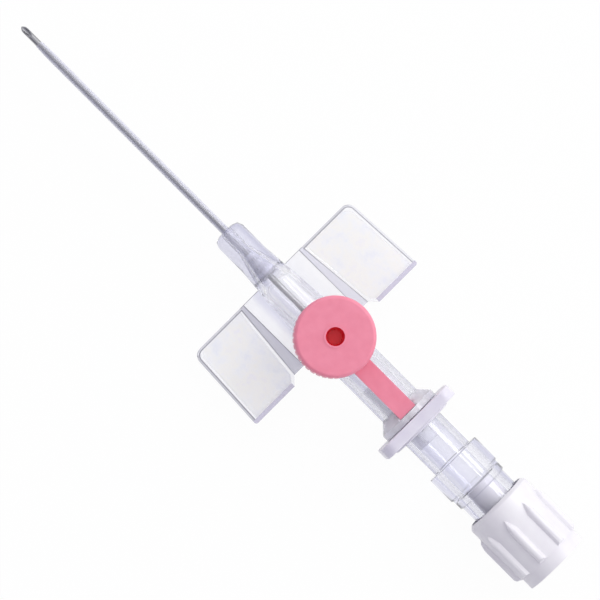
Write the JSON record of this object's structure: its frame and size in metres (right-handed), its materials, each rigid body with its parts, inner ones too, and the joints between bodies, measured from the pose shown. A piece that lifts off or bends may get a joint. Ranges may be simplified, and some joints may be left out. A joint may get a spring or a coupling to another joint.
{
  "type": "iv cannula",
  "caption": "Winged intravenous cannula with a top injection port, tethered port cap, hollow needle, clear flash chamber and ribbed luer cap.",
  "frame": {"origin": "on the catheter's axis, at the front face of the hub's nose", "axes": "+X along the axis towards the rear cap, +Y towards the left wing seen from the needle end, +Z to the side with the injection port"},
  "size_m": [0.0919, 0.0278, 0.0144],
  "materials": {
    "catheter_tube": "translucent fluoropolymer tube",
    "steel": "drawn stainless steel",
    "clear_hub": "clear moulded plastic, frosted on the wings",
    "silicone": "translucent silicone",
    "pink_plastic": "satin moulded plastic",
    "milky_plastic": "milky translucent plastic",
    "clear_chamber": "clear moulded plastic",
    "filter": "porous plastic",
    "white_plastic": "white moulded plastic"
  },
  "bodies": {
    "catheter": {"catheter_tube": "catheter_tube", "catheter_bush": "steel", "catheter_hub": "clear_hub", "port_valve": "silicone", "strap_anchor": "pink_plastic"},
    "port_cap": {"port_cap": "pink_plastic"},
    "needle_unit": {"needle": "steel", "needle_hub": "milky_plastic", "flash_chamber": "clear_chamber"},
    "cap_carrier": {"vent_filter": "filter"},
    "luer_cap": {"luer_cap": "white_plastic"}
  },
  "joints": [
    {"name": "port_cap_strap", "type": "hinge", "parent": "catheter", "child": "port_cap", "pos_m": [0.0297, 0, 0.00367], "axis": [0, 1, 0], "range_deg": [0, 130]},
    {"name": "needle_withdrawal", "type": "slide", "parent": "catheter", "child": "needle_unit", "axis": [1, 0, 0], "range_m": [0, 0.07]},
    {"name": "luer_cap_travel", "type": "slide", "parent": "needle_unit", "child": "cap_carrier", "axis": [1, 0, 0], "range_m": [0, 0.00375]},
    {"name": "luer_cap_turn", "type": "hinge", "parent": "cap_carrier", "child": "luer_cap", "pos_m": [0.052, 0, 0], "axis": [1, 0, 0], "range_deg": [0, 270]}
  ],
  "couplings": [
    {"joint": "luer_cap_turn", "follows": "luer_cap_travel", "rad_per_m": 1256.6}
  ]
}
